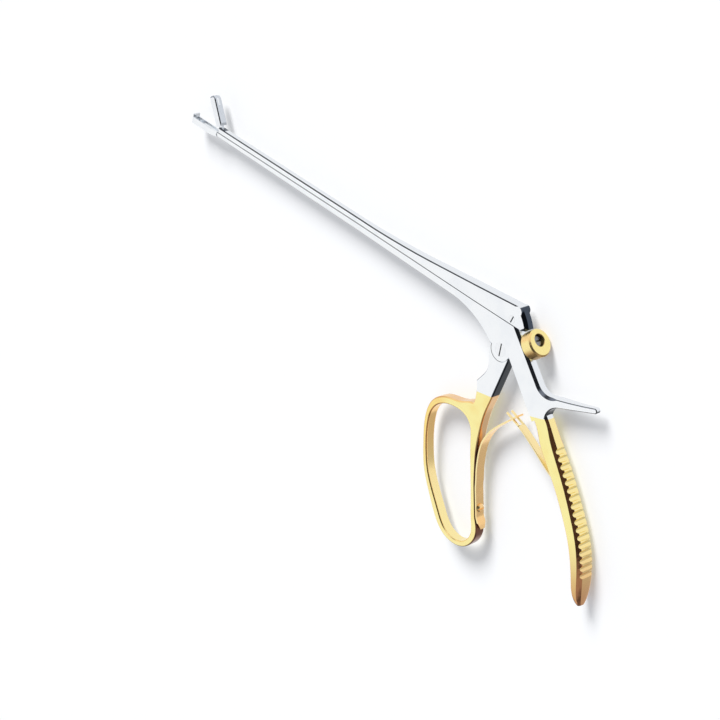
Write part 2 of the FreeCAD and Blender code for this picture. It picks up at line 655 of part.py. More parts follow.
# Stop collar and its screw, along the normal of the slanted rear edge
def buildCollar():
    body = newBody("stop_collar")
    radius, length, floor = size("collar_radius"), size("collar_length"), size("collar_floor")
    neck, neckRadius = size("collar_neck_length"), size("collar_neck_radius")
    gap = size("seat_gap")
    turned(body, "collar_ring", collarBase, 45,
           [(gap, 0), (gap, neckRadius), (neck, neckRadius), (neck, radius - 0.6), (neck + 0.6, radius),
            (length - 0.7, radius), (length, radius - 0.7), (length, 0)])
    bore = size("collar_bore_radius")
    turned(body, "collar_bore", boreBase, 45,
           [(floor, 0), (floor, bore), (length - 0.2, bore), (length + 0.2, bore + 0.4),
            (length + 0.2, 0)], True)
    hole = size("collar_screw_radius") + gap
    turned(body, "collar_hole", boreBase, 45, [(-1, 0), (-1, hole), (floor + 1, hole), (floor + 1, 0)], True)
    doc.recompute()
    return body


def buildCollarScrew():
    body = newBody("collar_screw")
    shank, length = size("collar_screw_radius"), size("collar_screw_length")
    head = size("collar_screw_head_radius")
    floor = size("collar_floor") + size("seat_gap")
    top = floor + size("collar_screw_head_height")
    turned(body, "collar_screw_turned", boreBase, 45,
           [(-length, 0), (-length, shank - 0.3), (0.3 - length, shank), (floor, shank), (floor, head),
            (top - 0.3, head), (top, head - 0.3), (top, 0)])
    angle = math.radians(45)
    along = Vector(math.cos(angle), math.sin(angle), 0)
    across = Vector(-math.sin(angle), math.cos(angle), 0) * 0.4
    inner = boreBase + along * (top - 0.9)
    outer = boreBase + along * (top + 0.5)
    sketch = sketchOn(body, "collar_screw_slot_sketch")
    draw(sketch, tuple(inner - across), tuple(outer - across), tuple(outer + across), tuple(inner + across))
    pocket(body, sketch, "collar_screw_slot")
    doc.recompute()
    return body


buildCollar()
buildCollarScrew()


# Front lever: tongue, shank and finger loop
seatTop = (4.9, -73.0, 0)
seatEnd = (8.9, -85.4, 0)
loopOutside = [
    (10.3, -88.3, 0), (11.6, -91.3, 0), (12.1, -95.2, 0), (11.2, -99.0, 0), (9.4, -102.3, 0), (6.8, -104.9, 0),
    (3.6, -106.6, 0), (-1.3, -107.4, 0), (-8.0, -105.8, 0), (-15.5, -99.0, 0), (-21.8, -90.2, 0),
    (-27.0, -81.8, 0), (-31.7, -67.4, 0), (-33.9, -54.5, 0), (-31.6, -44.5, 0), (-24.7, -38.8, 0),
    (-14.2, -35.4, 0), (-9.5, -33.0, 0), (-7.5, -29.6, 0)]
loopInside = [
    (-31.2, -54.0, 0), (-30.6, -61.2, 0), (-28.2, -71.1, 0), (-24.6, -80.5, 0), (-19.2, -88.7, 0),
    (-13.1, -96.5, 0), (-7.0, -102.8, 0), (-1.2, -104.6, 0), (4.2, -103.2, 0), (7.6, -99.4, 0), (8.6, -95.2, 0),
    (6.9, -88.9, 0), (4.0, -79.3, 0), (1.1, -69.8, 0), (-1.9, -60.3, 0), (-4.5, -50.9, 0), (-7.4, -43.6, 0),
    (-11.5, -40.9, 0), (-17.2, -40.6, 0), (-23.5, -42.2, 0), (-28.5, -46.0, 0)]


def buildLever():
    body = newBody("front_handle")
    cheek = size("lobe_radius") + size("lobe_gap")
    shoulder = earTop - size("lobe_gap")
    sketch = sketchOn(body, "lever_outline")
    draw(sketch, (-7.0, shoulder, 0),
         (-math.sqrt(cheek ** 2 - shoulder ** 2), shoulder, 0),
         ("arc", (0, -cheek, 0), polar((0, 0), cheek, -29.5)),
         (5.6, -3.3, 0),
         (1.8, -24.5, 0),
         ("curve", (0.1, -33.4, 0), (-0.3, -44.5, 0), (0.6, -55.0, 0), (2.5, -63.9, 0), seatTop),
         seatEnd,
         ("curve", *loopOutside),
         (-8.1, -22.6, 0),
         (-8.7, -20.6, 0),
         (-6.9, -17.6, 0),
         ("curve", (-4.9, -13.6, 0), (-4.7, -9.0, 0), (-6.2, -3.5, 0)))
    plate = pad(body, sketch, "Sizes.frame_thickness", "lever_plate")
    doc.recompute()
    edges = sideEdges(plate, lambda p: p.y < -24.0)
    feature = dress(body, "Fillet", "loop_outer_rounding", plate, edges, "Sizes.band_edge_radius")
    doc.recompute()
    front = sideEdges(feature, lambda p: -20.0 < p.y < 0.2 and p.x < -4)
    dress(body, "Chamfer", "lever_front_edges", feature, front, "Sizes.plate_bevel")
    doc.recompute()
    sketch = sketchOn(body, "finger_loop_sketch")
    ring = Part.BSplineCurve()
    ring.interpolate(Points=[Vector(*point) for point in loopInside], PeriodicFlag=True)
    sketch.addGeometry(ring, False)
    hole = pocket(body, sketch, "finger_loop")
    doc.recompute()
    rim = ring.toShape()
    edges = sideEdges(hole, lambda p: rim.distToShape(Part.Vertex(p.x, p.y, 0))[0] < 0.1)
    dress(body, "Fillet", "loop_inner_rounding", hole, edges, "Sizes.band_edge_radius")
    doc.recompute()

    # Tongue between the ears, forked around the cross screw
    top = Vector(size("drive_x"), driveY, 0)
    along = Vector(top).normalize()
    across = Vector(along.y, -along.x, 0)
    half, topHalf = size("tongue_half_width"), size("tongue_top_half_width")
    sketch = sketchOn(body, "tongue_outline")
    draw(sketch, (-4.2, -8.5, 0), (4.0, -8.5, 0), (half, 0, 0),
         tuple(top - along * 3 + across * topHalf),
         tuple(top + along * 2.5 + across * topHalf),
         tuple(top + along * 2.5 - across * topHalf),
         tuple(top - along * 3 - across * topHalf), (-half, 0, 0))
    pad(body, sketch, "Sizes.tongue_thickness", "tongue")
    fork = size("drive_radius") + size("running_gap")
    sketch = sketchOn(body, "tongue_fork_sketch")
    draw(sketch, tuple(top + along * 4 + across * fork), tuple(top + along * 4 - across * fork),
         tuple(top - along * 0.2 - across * fork),
         ("arc", tuple(top - along * (0.2 + fork)), tuple(top - along * 0.2 + across * fork)))
    pocket(body, sketch, "tongue_fork")
    roundHole(body, "tongue_bore", (0, 0, 0), "Sizes.pivot_radius + Sizes.running_gap")
    doc.recompute()
    return body


leverBody = buildLever()


# Upper jaw: drawn shut, then swung open about its hinge
def buildUpperJaw():
    body = newBody("upper_jaw")
    px, py = jawPivot.x, jawPivot.y
    bite = interfaceY + size("bite_gap")
    tip = px - size("jaw_length")
    root = px - size("jaw_root")
    top = bite + size("jaw_height")
    wall = size("jaw_wall")
    half = size("jaw_width") / 2
    sketch = sketchOn(body, "cup_outline")
    draw(sketch, (root, bite, 0), (root, top - 0.6, 0), (root - 1.2, top, 0), (tip + 2.6, top, 0),
         ("arc", (tip + 0.75, top - 0.75, 0), (tip, top - 2.6, 0)), (tip, bite, 0))
    pad(body, sketch, "Sizes.jaw_width", "cup")
    doc.recompute()
    sketch = sketchOn(body, "cup_nose_sketch", "XZ_Plane", None)
    for side in (-1, 1):
        outer = midPlane + side * half
        draw(sketch, (tip - 1, midPlane + side * (half - 1.4), 0),
             (tip - 0.01, midPlane + side * (half - 1.4), 0),
             ("arc", (tip + 0.45, midPlane + side * (half - 0.45), 0), (tip + 1.8, outer, 0)),
             (tip + 1.8, outer + side, 0), (tip - 1, outer + side, 0))
    cut = pocket(body, sketch, "cup_nose")
    doc.recompute()
    back = sideEdges(cut, lambda p: p.y > top - 0.1)
    dress(body, "Chamfer", "cup_back_edges", cut, back, "Sizes.edge_bevel")
    doc.recompute()
    sketch = sketchOn(body, "hollow_sketch")
    draw(sketch, (root - 1.1, bite - 0.5, 0), (root - 1.1, top - wall - 0.3, 0),
         (tip + 2.8, top - wall - 0.3, 0),
         ("arc", (tip + 1.35, top - wall - 0.9, 0), (tip + wall + 0.1, top - 2.7, 0)),
         (tip + wall + 0.1, bite - 0.5, 0))
    pocket(body, sketch, "hollow", "Sizes.jaw_width - 2 * Sizes.jaw_wall")
    sketch = sketchOn(body, "cup_window_sketch")
    drawBox(sketch, tip + 1.6, top - 2, tip + 5.4, top + 1)
    pocket(body, sketch, "cup_window", "Sizes.jaw_width / 3")

    # Web with the hinge bore and the slot for the link pin
    boss = size("jaw_boss_radius")
    shut = 90 + size("jaw_open_angle") / 2
    shortest = size("link_height")
    ear = polar((px, py), shortest + 0.35, shut)
    sketch = sketchOn(body, "web_outline")
    draw(sketch, (root - 0.6, bite + 0.3, 0),
         polar((px, py), boss, 262),
         ("arc", polar((px, py), boss, 325), polar((px, py), boss, shut - 90)),
         polar(ear, boss, shut - 90),
         ("arc", polar(ear, boss, shut - 45), polar(ear, boss, shut)),
         (root - 0.6, top - 0.9, 0))
    pad(body, sketch, "Sizes.jaw_web_thickness", "web")
    roundHole(body, "jaw_bore", (px, py, 0), "Sizes.jaw_pin_radius + Sizes.running_gap")
    side = size("jaw_pin_radius") + 2.5 * size("running_gap")
    nearEnd = polar((px, py), shortest, shut)
    farEnd = polar((px, py), linkReach + 0.03, shut)
    sketch = sketchOn(body, "link_slot_sketch")
    draw(sketch, polar(nearEnd, side, shut + 90),
         ("arc", polar(nearEnd, side, shut + 180), polar(nearEnd, side, shut - 90)),
         polar(farEnd, side, shut - 90),
         ("arc", polar(farEnd, side, shut), polar(farEnd, side, shut + 90)))
    pocket(body, sketch, "link_slot")
    body.setExpression("Placement.Rotation.Angle", "-Sizes.jaw_open_angle")
    swing = Rotation(Vector(0, 0, 1), -size("jaw_open_angle"))
    body.Placement = Placement(jawPivot - swing.multVec(jawPivot), swing)
    doc.recompute()
    return body


buildUpperJaw()


# Leaf springs: strips of one thickness along their outer faces
def offsetPoints(points, distance):
    curve = Part.BSplineCurve()
    curve.interpolate([Vector(*point) for point in points])
    moved = []
    for point in points:
        tangent = curve.tangent(curve.parameter(Vector(*point)))[0]
        moved.append((point[0] - tangent.y * distance, point[1] + tangent.x * distance, 0))
    return moved


# The domed screw of a leaf spring, along the outward normal of its seat
def springScrew(name, seat, degrees, leafTop):
    body = newBody(name)
    head, height = size("spring_screw_radius"), size("spring_screw_height")
    shank = size("spring_screw_shank")
    floor = leafTop + size("seat_gap")
    turned(body, name + "_turned", seat, degrees,
           [(-1.7, 0), (-1.7, shank), (floor, shank), (floor, head), (floor + height * 0.35, head),
            (floor + height * 0.8, head * 0.72), (floor + height, head * 0.3), (floor + height, 0)])
    angle = math.radians(degrees)
    along = Vector(math.cos(angle), math.sin(angle), 0)
    across = Vector(-math.sin(angle), math.cos(angle), 0) * (size("screw_slot_width") / 2)
    base = Vector(seat[0], seat[1], 0)
    inner = base + along * (floor + height * 0.5)
    outer = base + along * (floor + height + 1)
    sketch = sketchOn(body, name + "_slot_sketch")
    draw(sketch, tuple(inner - across), tuple(outer - across), tuple(outer + across), tuple(inner + across))
    pocket(body, sketch, name + "_slot")
    doc.recompute()
    return body


def screwHole(body, name, seat, degrees, depth):
    radius = size("spring_screw_shank") + size("seat_gap")
    turned(body, name, seat, degrees, [(-depth, 0), (-depth, radius), (3, radius), (3, 0)], True)


frontNormal = math.degrees(math.atan2(seatTop[0] - seatEnd[0], seatEnd[1] - seatTop[1])) + 180
frontSeat = ((seatTop[0] * 0.26 + seatEnd[0] * 0.74), (seatTop[1] * 0.26 + seatEnd[1] * 0.74), 0)
frontNeck = -28.8
frontHead = -26.95
frontTip = -24.0


def buildFrontLeaf():
    body = newBody("front_leaf_spring")
    rise = size("leaf_thickness") + 2 * size("seat_gap")
    seatA = polar(seatTop, rise, frontNormal)
    seatB = polar(seatEnd, rise, frontNormal)
    free = [(17.5, -25.8, 0), (15.0, -28.7, 0), (12.2, -32.0, 0), (9.9, -34.7, 0), (7.6, -37.7, 0),
            (5.4, -41.0, 0), (3.8, -44.6, 0), (2.8, -47.9, 0), (2.4, -51.2, 0), (2.45, -55.0, 0),
            (2.85, -59.2, 0), (3.6, -63.9, 0), (4.75, -68.6, 0), seatA]
    foot = [seatB, (11.55, -88.1, 0), (13.1, -91.0, 0)]
    thickness = size("leaf_thickness")
    innerFree = offsetPoints(free, -thickness)
    innerFree[-1] = polar(seatA, -thickness, frontNormal)
    innerFoot = offsetPoints(foot, -thickness)
    innerFoot[0] = polar(seatB, -thickness, frontNormal)
    sketch = sketchOn(body, "front_leaf_outline")
    draw(sketch, free[0], ("curve", *free[1:]), seatB, ("curve", *foot[1:]), innerFoot[-1],
         ("curve", *reversed(innerFoot[:-1])), innerFree[-1], ("curve", *reversed(innerFree[:-1])))
    pad(body, sketch, "Sizes.front_leaf_width", "front_leaf")

    # Seen along the shaft: tapered, with a neck and a cross head at the tip and a pointed foot
    half = size("front_leaf_width") / 2
    neck = size("leaf_neck_width") / 2
    head = size("leaf_head_width") / 2
    tip = size("front_leaf_tip_width") / 2
    sketch = sketchOn(body, "front_leaf_taper_sketch", "YZ_Plane", None)
    for side in (-1, 1):
        widths = [(frontTip, head), (frontHead, head), (frontHead, neck), (frontNeck, neck),
                  (frontNeck - 1.5, tip), (-48, half), (-88.5, half), (-90.6, half * 0.6), (-94, half * 0.2)]
        outer = midPlane + side * (half + 2)
        points = [(y, midPlane + side * z, 0) for y, z in widths]
        draw(sketch, *points, (-94, outer, 0), (frontTip, outer, 0))
    pocket(body, sketch, "front_leaf_taper")
    screwHole(body, "front_leaf_hole", frontSeat, frontNormal, 2)
    doc.recompute()
    return body


# Rear leaf spring: straight root in a recess of the grip, free strip and forked tip
rearRootEnd = (52.8, -50.2, 0)
rearRootTop = (45.0, -42.2, 0)
rearFree = [(42.4, -40.9, 0), (40.0, -39.75, 0), (35.0, -37.0, 0), (30.0, -34.15, 0), (25.0, -31.5, 0),
            (20.4, -29.4, 0), (16.2, -28.0, 0), (11.3, -26.5, 0)]
rearNormal = math.degrees(math.atan2(rearRootTop[1] - rearRootEnd[1], rearRootTop[0] - rearRootEnd[0])) + 90
rearSeat = (rearRootTop[0] * 0.45 + rearRootEnd[0] * 0.55, rearRootTop[1] * 0.45 + rearRootEnd[1] * 0.55, 0)


def buildRearLeaf():
    body = newBody("rear_leaf_spring")
    gap, thickness = size("seat_gap"), size("leaf_thickness")
    end = polar(rearRootEnd, gap, rearNormal)
    top = polar(rearRootTop, gap, rearNormal)
    upper = [top] + rearFree
    lower = offsetPoints(upper, thickness)
    lower[0] = polar(top, thickness, rearNormal)
    lowerEnd = polar(end, thickness, rearNormal)
    sketch = sketchOn(body, "rear_leaf_outline")
    draw(sketch, end, top, ("curve", *upper[1:]), lower[-1], ("curve", *reversed(lower[:-1])), lowerEnd)
    pad(body, sketch, "Sizes.rear_leaf_width", "rear_leaf")
    half = size("leaf_fork_gap") / 2
    outer = size("rear_leaf_width") / 2
    tipX = rearFree[-1][0]
    sketch = sketchOn(body, "leaf_fork_sketch", "XZ_Plane", None)
    draw(sketch, (tipX - 2, midPlane - half, 0), (tipX + 7.6, midPlane - half, 0),
         ("arc", (tipX + 7.6 + half, midPlane, 0), (tipX + 7.6, midPlane + half, 0)),
         (tipX - 2, midPlane + half, 0))
    for side in (-1, 1):
        edge = midPlane + side * outer
        draw(sketch, (tipX - 1, edge - side * 0.6, 0), (tipX - 0.01, edge - side * 0.6, 0),
             (tipX + 1.0, edge + side * 0.01, 0), (tipX + 1.0, edge + side, 0), (tipX - 1, edge + side, 0))
        draw(sketch, (rearRootEnd[0] + 0.5, edge - side * 1.0, 0),
             (rearRootEnd[0] - 1.2, edge + side * 0.01, 0),
             (rearRootEnd[0] - 1.2, edge + side, 0), (rearRootEnd[0] + 0.5, edge + side, 0))
    pocket(body, sketch, "leaf_fork")
    screwHole(body, "rear_leaf_hole", rearSeat, rearNormal, 2)
    doc.recompute()
    return body


def seatRearLeaf():
    sketch = sketchOn(frameBody, "leaf_recess_sketch")
    end = polar(rearRootEnd, 0.3, rearNormal + 90)
    mouth = polar(rearRootTop, 3.6, rearNormal - 90)
    draw(sketch, end, mouth, polar(mouth, 7, rearNormal), polar(end, 7, rearNormal))
    pocket(frameBody, sketch, "leaf_recess", "Sizes.rear_leaf_width + 6 * Sizes.seat_gap")
    screwHole(frameBody, "rear_spring_bore", rearSeat, rearNormal, 1.75)


leafTop = size("leaf_thickness") + 2 * size("seat_gap")
buildFrontLeaf()
springScrew("front_spring_screw", frontSeat, frontNormal, leafTop)
screwHole(leverBody, "front_spring_bore", frontSeat, frontNormal, 1.75)
buildRearLeaf()
springScrew("rear_spring_screw", rearSeat, rearNormal, leafTop)
seatRearLeaf()
doc.recompute()


# Check every object and write one file per piece
for item in doc.Objects:
    if "Invalid" in item.State or "Error" in item.State:
        raise RuntimeError(f"{item.Label} did not build: {item.State}")
os.makedirs("parts", exist_ok=True)
for body in doc.findObjects("PartDesign::Body"):
    shape = body.Shape
    if shape.isNull() or not shape.isValid() or len(shape.Solids) != 1:
        raise RuntimeError(f"{body.Label} is not one sound solid")
    shape.exportStep(f"parts/{body.Label}.step")
    box = shape.BoundBox
    extent = [round(v, 2) for v in (box.XMin, box.XMax, box.YMin, box.YMax, box.ZMin, box.ZMax)]
    print(body.Label, round(shape.Volume, 1), extent)
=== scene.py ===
import math

import bmesh
import bpy
import numpy as np
from mathutils import Matrix, Vector


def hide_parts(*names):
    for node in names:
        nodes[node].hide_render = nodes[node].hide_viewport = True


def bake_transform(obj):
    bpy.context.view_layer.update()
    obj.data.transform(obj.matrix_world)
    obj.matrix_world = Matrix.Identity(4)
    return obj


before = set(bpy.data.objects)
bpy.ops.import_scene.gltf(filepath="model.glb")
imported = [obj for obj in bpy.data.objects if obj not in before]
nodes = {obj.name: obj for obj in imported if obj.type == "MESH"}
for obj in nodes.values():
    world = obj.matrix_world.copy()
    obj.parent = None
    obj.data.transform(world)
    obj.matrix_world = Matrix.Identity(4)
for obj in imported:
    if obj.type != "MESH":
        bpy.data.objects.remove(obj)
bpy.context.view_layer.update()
millimetre = 0.001
print("frame loaded:", len(nodes), "nodes")


# Camera: a long lens above the side plate, turned round the pivot screw
cameraLook = {"turn": 40.29, "tilt": 50.1, "roll": 17.11, "distance": 0.75, "lens": 84.75, "sensor": 36.0,
              "near": 0.01, "far": 20.0, "pivotPixel": (500.2, 349.9), "picture": 720,
              "pivotHeight": 5.8 * millimetre}


# The picture's right and up and the way back to the camera, from the turn, the tilt and the roll
def viewAxes():
    turn, tilt, roll = (math.radians(cameraLook[name]) for name in ("turn", "tilt", "roll"))
    forward = np.array([math.cos(turn), math.sin(turn), 0.0])
    sideways = np.array([-math.sin(turn), math.cos(turn), 0.0])
    up = np.array([0.0, 0.0, 1.0])
    back = math.sin(tilt) * forward + math.cos(tilt) * up
    lean = math.cos(tilt) * forward - math.sin(tilt) * up
    right = math.cos(roll) * lean - math.sin(roll) * sideways
    above = math.sin(roll) * lean + math.cos(roll) * sideways
    return right, above, back


# The camera stands off the pivot so that the pivot falls on its own pixel
def placeCamera():
    right, above, back = viewAxes()
    half = cameraLook["picture"] / 2
    # metres per pixel at the pivot
    pixel = cameraLook["sensor"] / cameraLook["lens"] / cameraLook["picture"] * cameraLook["distance"]
    alongX = (cameraLook["pivotPixel"][0] - half) * pixel
    alongY = (half - cameraLook["pivotPixel"][1]) * pixel
    pivot = np.array([0.0, 0.0, cameraLook["pivotHeight"]])
    eye = pivot - alongX * right - alongY * above + cameraLook["distance"] * back
    data = bpy.data.cameras.new("camera")
    data.lens = cameraLook["lens"]
    data.sensor_width = cameraLook["sensor"]
    data.clip_start = cameraLook["near"]
    data.clip_end = cameraLook["far"]
    camera = bpy.data.objects.new("camera", data)
    bpy.context.collection.objects.link(camera)
    rows = [[right[i], above[i], back[i], eye[i]] for i in range(3)] + [[0, 0, 0, 1]]
    camera.matrix_world = Matrix(rows)
    bpy.context.scene.camera = camera


placeCamera()
print("camera placed")


# Materials: each helper adds nodes to a tree and gives back the socket with the result
def newMaterial(name):
    material = bpy.data.materials.new(name)
    material.use_nodes = True
    tree = material.node_tree
    shader = tree.nodes["Principled BSDF"]
    return material, tree, shader


def addNode(tree, kind, **settings):
    node = tree.nodes.new(kind)
    for name, value in settings.items():
        setattr(node, name, value)
    return node


def maths(tree, operation, first, second=None):
    node = addNode(tree, "ShaderNodeMath", operation=operation)
    for socket, value in zip(node.inputs, (first, second)):
        if value is None:
            continue
        if isinstance(value, (int, float)):
            socket.default_value = value
        else:
            tree.links.new(value, socket)
    return node.outputs["Value"]


# noise(scale * place), with the place turned and drawn out along one direction of the plate
def noiseField(tree, scale, turn=0.0, stretch=1.0, detail=2):
    place = addNode(tree, "ShaderNodeTexCoord")
    mapping = addNode(tree, "ShaderNodeMapping")
    mapping.inputs["Rotation"].default_value = (0, 0, math.radians(turn))
    mapping.inputs["Scale"].default_value = (stretch, 1, 1)
    noise = addNode(tree, "ShaderNodeTexNoise")
    noise.inputs["Scale"].default_value = scale
    noise.inputs["Detail"].default_value = detail
    tree.links.new(place.outputs["Object"], mapping.inputs["Vector"])
    tree.links.new(mapping.outputs["Vector"], noise.inputs["Vector"])
    return noise.outputs["Fac"]


# Smooth step from low to high while the value goes from fromLow to fromHigh
def mapped(tree, value, low, high, fromLow=0.3, fromHigh=0.7):
    node = addNode(tree, "ShaderNodeMapRange")
    node.interpolation_type = "SMOOTHSTEP"
    node.inputs["From Min"].default_value = fromLow
    node.inputs["From Max"].default_value = fromHigh
    node.inputs["To Min"].default_value = low
    node.inputs["To Max"].default_value = high
    tree.links.new(value, node.inputs["Value"])
    return node.outputs["Result"]


# (1 - factor) * colourA + factor * colourB
def mixColour(tree, factor, colourA, colourB):
    node = addNode(tree, "ShaderNodeMix", data_type="RGBA")
    tree.links.new(factor, node.inputs[0])
    for socket, colour in ((node.inputs[6], colourA), (node.inputs[7], colourB)):
        if isinstance(colour, tuple):
            socket.default_value = (*colour, 1)
        else:
            tree.links.new(colour, socket)
    return node.outputs[2]


def bump(tree, shader, height, strength, distance):
    node = addNode(tree, "ShaderNodeBump")
    node.inputs["Strength"].default_value = strength
    node.inputs["Distance"].default_value = distance
    tree.links.new(height, node.inputs["Height"])
    tree.links.new(node.outputs["Normal"], shader.inputs["Normal"])


# Tones of each metal: its flat faces, its bevels, its edge walls, and the worn patches. The bevel and wall
# tones are painted reflection and shade: darker or deeper-coloured bevels and walls stand in for the dark room
# mirrored in them
steelLook = {"face": (0.90, 0.92, 0.94), "bevel": (0.17, 0.19, 0.23), "wall": (0.80, 0.83, 0.87),
             "worn": (0.82, 0.85, 0.89)}
# The screw's near-black walls and dark bevels are painted shade
screwLook = {"face": (0.88, 0.90, 0.92), "bevel": (0.10, 0.11, 0.13), "wall": (0.05, 0.05, 0.06),
             "worn": (0.80, 0.82, 0.86)}
# Painted shade: the screw deep in the collar's bore is coloured dark to stand for the bore's shade
boreShadeSteel = {"face": (0.22, 0.23, 0.26), "bevel": (0.12, 0.13, 0.15), "wall": (0.24, 0.25, 0.27),
             "worn": (0.16, 0.17, 0.20)}
jawLook = {"face": (0.86, 0.88, 0.91), "bevel": (0.30, 0.33, 0.38), "wall": (0.62, 0.66, 0.72),
           "worn": (0.78, 0.81, 0.85)}
gripGold = {"face": (0.95, 0.86, 0.38), "bevel": (0.95, 0.42, 0.18), "wall": (0.95, 0.79, 0.36),
            "worn": (0.93, 0.77, 0.29)}
loopGold = {"face": (0.95, 0.85, 0.38), "bevel": (0.95, 0.64, 0.26), "wall": (0.86, 0.55, 0.29),
            "worn": (0.92, 0.74, 0.28)}
collarLook = {"face": (0.95, 0.80, 0.36), "bevel": (0.94, 0.66, 0.28), "wall": (0.95, 0.80, 0.34),
              "worn": (0.93, 0.70, 0.28)}
# The front leaf's darker walls are painted shade and the rear leaf's lighter walls painted light; otherwise the
# two springs share one gold
springGoldShadedWalls = {"face": (0.95, 0.80, 0.42), "bevel": (0.95, 0.72, 0.38), "wall": (0.95, 0.62, 0.28),
              "worn": (0.92, 0.66, 0.30)}
rearSpringGoldLitWalls = {"face": (0.95, 0.80, 0.42), "bevel": (0.95, 0.72, 0.38), "wall": (0.95, 0.77, 0.40),
                  "worn": (0.92, 0.66, 0.30)}


# How far the surface leans out of the plate's plane: 0 on edge walls, 1 on the flat faces
def faceLean(tree):
    place = addNode(tree, "ShaderNodeTexCoord")
    parts = addNode(tree, "ShaderNodeSeparateXYZ")
    tree.links.new(place.outputs["Normal"], parts.inputs["Vector"])
    return maths(tree, "ABSOLUTE", parts.outputs["Z"])


# Shared by all the metals: cloudy wear, where a wall turns to a bevel and a bevel to a face, and the polish
finishLook = {"wearScale": 120, "wearShare": 0.55, "wearBetween": (0.42, 0.75), "wallToBevel": (0.25, 0.45),
              "bevelToFace": (0.86, 0.97), "roughBetween": (0.75, 1.35), "lineDetail": 3,
              "lineDepth": 0.02 * millimetre, "platingBlur": 0.3}


# The metal's tone by the surface's lean: wall, then bevel, then face with its worn patches. The wall and bevel
# tones paint reflection and shade by the lean
def toneColour(tree, look):
    cloud = noiseField(tree, finishLook["wearScale"])
    lean = faceLean(tree)
    worn = mapped(tree, cloud, 0, finishLook["wearShare"], *finishLook["wearBetween"])
    face = mixColour(tree, worn, look["face"], look["worn"])
    edge = mixColour(tree, mapped(tree, lean, 0, 1, *finishLook["wallToBevel"]), look["wall"], look["bevel"])
    return mixColour(tree, mapped(tree, lean, 0, 1, *finishLook["bevelToFace"]), edge, face)


# 1 on walls that face one way in the plate's plane and 0 on the others
def facing(tree, towards, start, end):
    place = addNode(tree, "ShaderNodeTexCoord")
    dot = addNode(tree, "ShaderNodeVectorMath", operation="DOT_PRODUCT")
    dot.inputs[1].default_value = (*towards, 0)
    tree.links.new(place.outputs["Normal"], dot.inputs[0])
    return mapped(tree, dot.outputs["Value"], 0, 1, start, end)


# 1 below a straight line across the plate and 0 above it, over a given width. The line goes through a point
# and is turned by its lean: at 90 degrees the side towards +X is below it, at -90 the side towards -X
def across(tree, point, lean, width):
    place = addNode(tree, "ShaderNodeTexCoord")
    mapping = addNode(tree, "ShaderNodeMapping", vector_type="TEXTURE")
    mapping.inputs["Location"].default_value = (point[0] * millimetre, point[1] * millimetre, 0)
    mapping.inputs["Rotation"].default_value = (0, 0, math.radians(lean))
    parts = addNode(tree, "ShaderNodeSeparateXYZ")
    tree.links.new(place.outputs["Object"], mapping.inputs["Vector"])
    tree.links.new(mapping.outputs["Vector"], parts.inputs["Vector"])
    return mapped(tree, parts.outputs["Y"], 1, 0, -width / 2 * millimetre, width / 2 * millimetre)


# Painted shade: a darker tone on the walls that face one way, below the lines that are given with it
def shaded(tree, colour, shades):
    for shade in shades:
        side = facing(tree, shade["towards"], *shade["between"])
        for line in shade.get("below", ()):
            side = maths(tree, "MULTIPLY", side, across(tree, *line))
        colour = mixColour(tree, side, colour, shade["tone"])
    return colour


# Brushed metal. With a plating line it is steel above the line and gold below it, and the gold may change below
# further lines, to painted shade or light. The shades paint shade on the steel and the goldShades on the gold
def metal(name, look, roughness, turn=0.0, scale=900, stretch=0.08, grain=0.04, plating=None, plated=None,
          beyond=(), shades=(), goldShades=()):
    material, tree, shader = newMaterial(name)
    colour = shaded(tree, toneColour(tree, look), shades)
    if plating:
        gold = toneColour(tree, plated)
        for line, tones in beyond:
            gold = mixColour(tree, across(tree, *line), gold, toneColour(tree, tones))
        plate = across(tree, *plating, finishLook["platingBlur"])
        colour = mixColour(tree, plate, colour, shaded(tree, gold, goldShades))
    tree.links.new(colour, shader.inputs["Base Color"])
    shader.inputs["Metallic"].default_value = 1.0
    lines = noiseField(tree, scale, turn, stretch, finishLook["lineDetail"])
    low, high = (roughness * share for share in finishLook["roughBetween"])
    tree.links.new(mapped(tree, lines, low, high), shader.inputs["Roughness"])
    bump(tree, shader, lines, grain, finishLook["lineDepth"])
    return material


# Painted shade and light on the gold further down: a darker gold at the grip's tip and along the loop's front
# as painted shade, and lighter walls at the loop's lowest part as painted light
gripTipShade = {"face": (0.62, 0.32, 0.13), "bevel": (0.70, 0.32, 0.16), "wall": (0.72, 0.36, 0.17),
           "worn": (0.50, 0.22, 0.09)}
loopFootLight = {"face": (0.95, 0.83, 0.38), "bevel": (0.95, 0.74, 0.32), "wall": (0.95, 0.80, 0.38),
            "worn": (0.92, 0.70, 0.27)}
loopFrontShade = {"face": (0.95, 0.73, 0.27), "bevel": (0.70, 0.36, 0.14), "wall": (0.93, 0.60, 0.24),
            "worn": (0.93, 0.66, 0.24)}

# Lines across the plate in millimetres and degrees: a point, the lean, the width over which the colour changes
frameLine = ((28.0, -19.4), 19.0)
leverLine = ((-3.0, -25.0), 11.8)
gripBeyond = [(((69.5, -77.0), 19.0, 40.0), gripTipShade)]
loopBeyond = [(((-24.0, 0.0), -90.0, 8.0), loopFrontShade), (((-20.0, -79.0), -30.0, 26.0), loopFootLight)]

